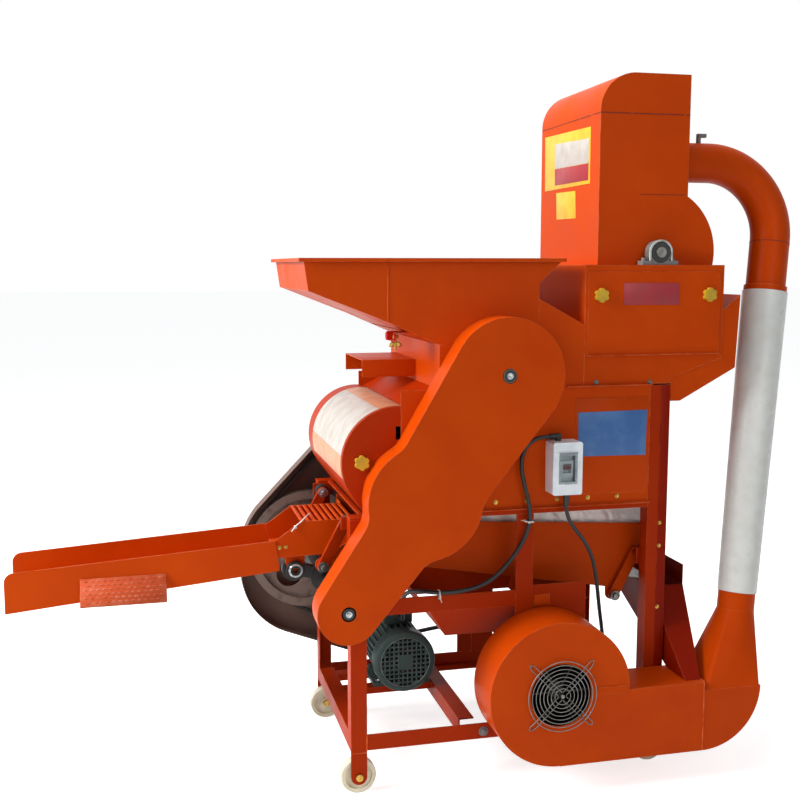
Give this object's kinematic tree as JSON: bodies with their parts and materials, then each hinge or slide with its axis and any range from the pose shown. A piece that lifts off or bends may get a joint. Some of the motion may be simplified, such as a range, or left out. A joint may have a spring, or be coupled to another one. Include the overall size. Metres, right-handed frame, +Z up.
{
  "type": "peanut sheller",
  "caption": "Wheeled peanut sheller with hopper, beater drums, swinging sieve, blower, belt drive, motor and a lift fan that returns unshelled pods.",
  "frame": {"origin": "on the floor under the middle of the machine, cables left out", "axes": "+X from the kernel trough to the lift tube, +Y from the belt guard side to the back, +Z up"},
  "size_m": [2.2626, 0.815, 1.978],
  "materials": {
    "orange_paint": "satin enamel",
    "motor_paint": "satin enamel",
    "steel": "bright",
    "cast_iron": "as cast",
    "black_rubber": "matt",
    "nylon": "moulded",
    "black_plastic": "moulded",
    "white_plastic": "moulded",
    "clear_plastic": "clear",
    "red_plastic": "moulded",
    "yellow_plastic": "moulded",
    "grey_paint": "satin enamel",
    "white_tube": "extruded",
    "grey_cloth": "woven"
  },
  "bodies": {
    "frame": {"blower_housing": "orange_paint", "breaker_box": "white_plastic", "cable_glands": "black_plastic", "concave_screens": "steel", "drive_belts": "black_rubber", "drum_housing": "orange_paint", "dust_skirt": "grey_cloth", "finger_guard": "steel", "frame_bolts": "steel", "frame_posts": "orange_paint", "frame_rails": "orange_paint", "front_belt_guard": "orange_paint", "hopper": "orange_paint", "lift_elbow": "orange_paint", "lift_fan_housing": "orange_paint", "lift_tube": "white_tube", "motor_body": "motor_paint", "motor_cable": "black_rubber", "motor_fan_cowl": "motor_paint", "pod_chute": "orange_paint", "rear_belt_guard": "grey_paint", "second_chamber": "orange_paint", "separation_box": "orange_paint", "settling_box": "orange_paint", "settling_cap": "orange_paint", "shaft_bearings": "cast_iron", "shell_chute": "orange_paint", "supply_cable": "black_rubber", "supply_coil": "black_rubber", "supply_plug": "black_plastic", "top_elbow": "orange_paint", "wheel_axles": "steel", "wind_box": "orange_paint"},
    "motor_rotor": {"motor_rotor": "steel"},
    "counter_shaft": {"counter_shaft": "steel", "drive_wheel": "cast_iron"},
    "jack_pulley": {"jack_pulley": "cast_iron"},
    "drum_rotor": {"drum_rotor": "steel"},
    "blower_rotor": {"blower_rotor": "steel"},
    "lift_rotor": {"lift_rotor": "steel"},
    "second_rotor": {"second_rotor": "steel"},
    "connecting_rod": {"connecting_rod": "cast_iron"},
    "left_rockers": {"left_rockers": "orange_paint"},
    "right_rockers": {"right_rockers": "orange_paint"},
    "sieve": {"sieve_box": "orange_paint", "sieve_deck": "steel", "sieve_neck": "orange_paint", "kernel_trough": "orange_paint", "rod_bush": "black_rubber"},
    "feed_gate": {"feed_gate": "orange_paint"},
    "screen_cover": {"screen_cover": "orange_paint"},
    "cover_knob_left": {"cover_knob_left": "yellow_plastic"},
    "cover_knob_right": {"cover_knob_right": "yellow_plastic"},
    "blower_knob": {"blower_knob": "yellow_plastic"},
    "breaker_window": {"breaker_window": "clear_plastic"},
    "breaker_toggle": {"breaker_toggle": "red_plastic"},
    "wheel_front_left": {"wheel_front_left": "nylon"},
    "wheel_back_left": {"wheel_back_left": "nylon"},
    "wheel_front_right": {"wheel_front_right": "nylon"},
    "wheel_back_right": {"wheel_back_right": "nylon"}
  },
  "joints": [
    {"name": "roll_front_left", "type": "hinge", "parent": "frame", "child": "wheel_front_left", "pos_m": [-0.20652, 0.0385, 0.05], "axis": [0, 1, 0], "continuous": true},
    {"name": "roll_back_left", "type": "hinge", "parent": "frame", "child": "wheel_back_left", "pos_m": [-0.20652, 0.0385, 0.05], "axis": [0, 1, 0], "continuous": true},
    {"name": "roll_front_right", "type": "hinge", "parent": "frame", "child": "wheel_front_right", "pos_m": [0.66598, 0.0385, 0.05], "axis": [0, 1, 0], "continuous": true},
    {"name": "roll_back_right", "type": "hinge", "parent": "frame", "child": "wheel_back_right", "pos_m": [0.66598, 0.0385, 0.05], "axis": [0, 1, 0], "continuous": true},
    {"name": "counter_spin", "type": "hinge", "parent": "frame", "child": "counter_shaft", "pos_m": [-0.24902, 0.0385, 0.543], "axis": [0, 1, 0], "continuous": true},
    {"name": "motor_spin", "type": "hinge", "parent": "frame", "child": "motor_rotor", "pos_m": [-0.00402, 0.0385, 0.256], "axis": [0, 1, 0], "continuous": true},
    {"name": "jack_spin", "type": "hinge", "parent": "frame", "child": "jack_pulley", "pos_m": [-0.03902, 0.0385, 0.828], "axis": [0, 1, 0], "continuous": true},
    {"name": "drum_spin", "type": "hinge", "parent": "frame", "child": "drum_rotor", "pos_m": [0.18798, 0.0385, 1.16], "axis": [0, 1, 0], "continuous": true},
    {"name": "blower_spin", "type": "hinge", "parent": "frame", "child": "blower_rotor", "pos_m": [-0.09902, 0.0385, 0.926], "axis": [0, 1, 0], "continuous": true},
    {"name": "lift_spin", "type": "hinge", "parent": "frame", "child": "lift_rotor", "pos_m": [0.32298, 0.0385, 0.294], "axis": [0, 1, 0], "continuous": true},
    {"name": "second_spin", "type": "hinge", "parent": "frame", "child": "second_rotor", "pos_m": [0.65798, 0.0385, 1.487], "axis": [0, 1, 0], "continuous": true},
    {"name": "rod_turn", "type": "hinge", "parent": "counter_shaft", "child": "connecting_rod", "pos_m": [-0.24902, 0.0385, 0.548], "axis": [0, 1, 0], "continuous": true},
    {"name": "left_rocker_swing", "type": "hinge", "parent": "frame", "child": "left_rockers", "pos_m": [-0.22202, 0.0385, 0.754], "axis": [0, 1, 0], "range_deg": [-2, 2], "deforming": ["rod_bush"]},
    {"name": "right_rocker_swing", "type": "hinge", "parent": "frame", "child": "right_rockers", "pos_m": [0.64398, 0.0385, 0.612], "axis": [0, 1, 0], "range_deg": [-2, 2]},
    {"name": "sieve_swing", "type": "hinge", "parent": "left_rockers", "child": "sieve", "pos_m": [-0.28802, 0.0385, 0.629], "axis": [0, 1, 0], "range_deg": [-2, 2]},
    {"name": "gate_slide", "type": "slide", "parent": "frame", "child": "feed_gate", "axis": [-1, 0, 0], "range_m": [0, 0.165]},
    {"name": "cover_pull", "type": "slide", "parent": "frame", "child": "screen_cover", "axis": [0, -1, 0], "range_m": [0, 0.06]},
    {"name": "cover_knob_left_turn", "type": "hinge", "parent": "screen_cover", "child": "cover_knob_left", "pos_m": [0.47698, -0.2465, 1.369], "axis": [0, 1, 0], "continuous": true},
    {"name": "cover_knob_right_turn", "type": "hinge", "parent": "screen_cover", "child": "cover_knob_right", "pos_m": [0.80498, -0.2465, 1.369], "axis": [0, 1, 0], "continuous": true},
    {"name": "blower_knob_turn", "type": "hinge", "parent": "frame", "child": "blower_knob", "pos_m": [-0.19702, -0.2465, 0.93], "axis": [0, 1, 0], "continuous": true},
    {"name": "window_flip", "type": "hinge", "parent": "frame", "child": "breaker_window", "pos_m": [0.36648, -0.3097, 0.942], "axis": [-1, 0, 0], "range_deg": [0, 110]},
    {"name": "toggle_flip", "type": "hinge", "parent": "frame", "child": "breaker_toggle", "pos_m": [0.36648, -0.2905, 0.899], "axis": [1, 0, 0], "range_deg": [0, 56]}
  ],
  "couplings": [
    {"joint": "motor_spin", "follows": "counter_spin", "ratio": 4.2184},
    {"joint": "jack_spin", "follows": "counter_spin", "ratio": 0.59391},
    {"joint": "drum_spin", "follows": "counter_spin", "ratio": 0.45525},
    {"joint": "blower_spin", "follows": "counter_spin", "ratio": 5.4776},
    {"joint": "lift_spin", "follows": "counter_spin", "ratio": 4.7662},
    {"joint": "second_spin", "follows": "counter_spin", "ratio": 0.45525},
    {"joint": "rod_turn", "follows": "counter_spin", "ratio": -1},
    {"joint": "right_rocker_swing", "follows": "left_rocker_swing", "ratio": 1},
    {"joint": "sieve_swing", "follows": "left_rocker_swing", "ratio": -1}
  ]
}
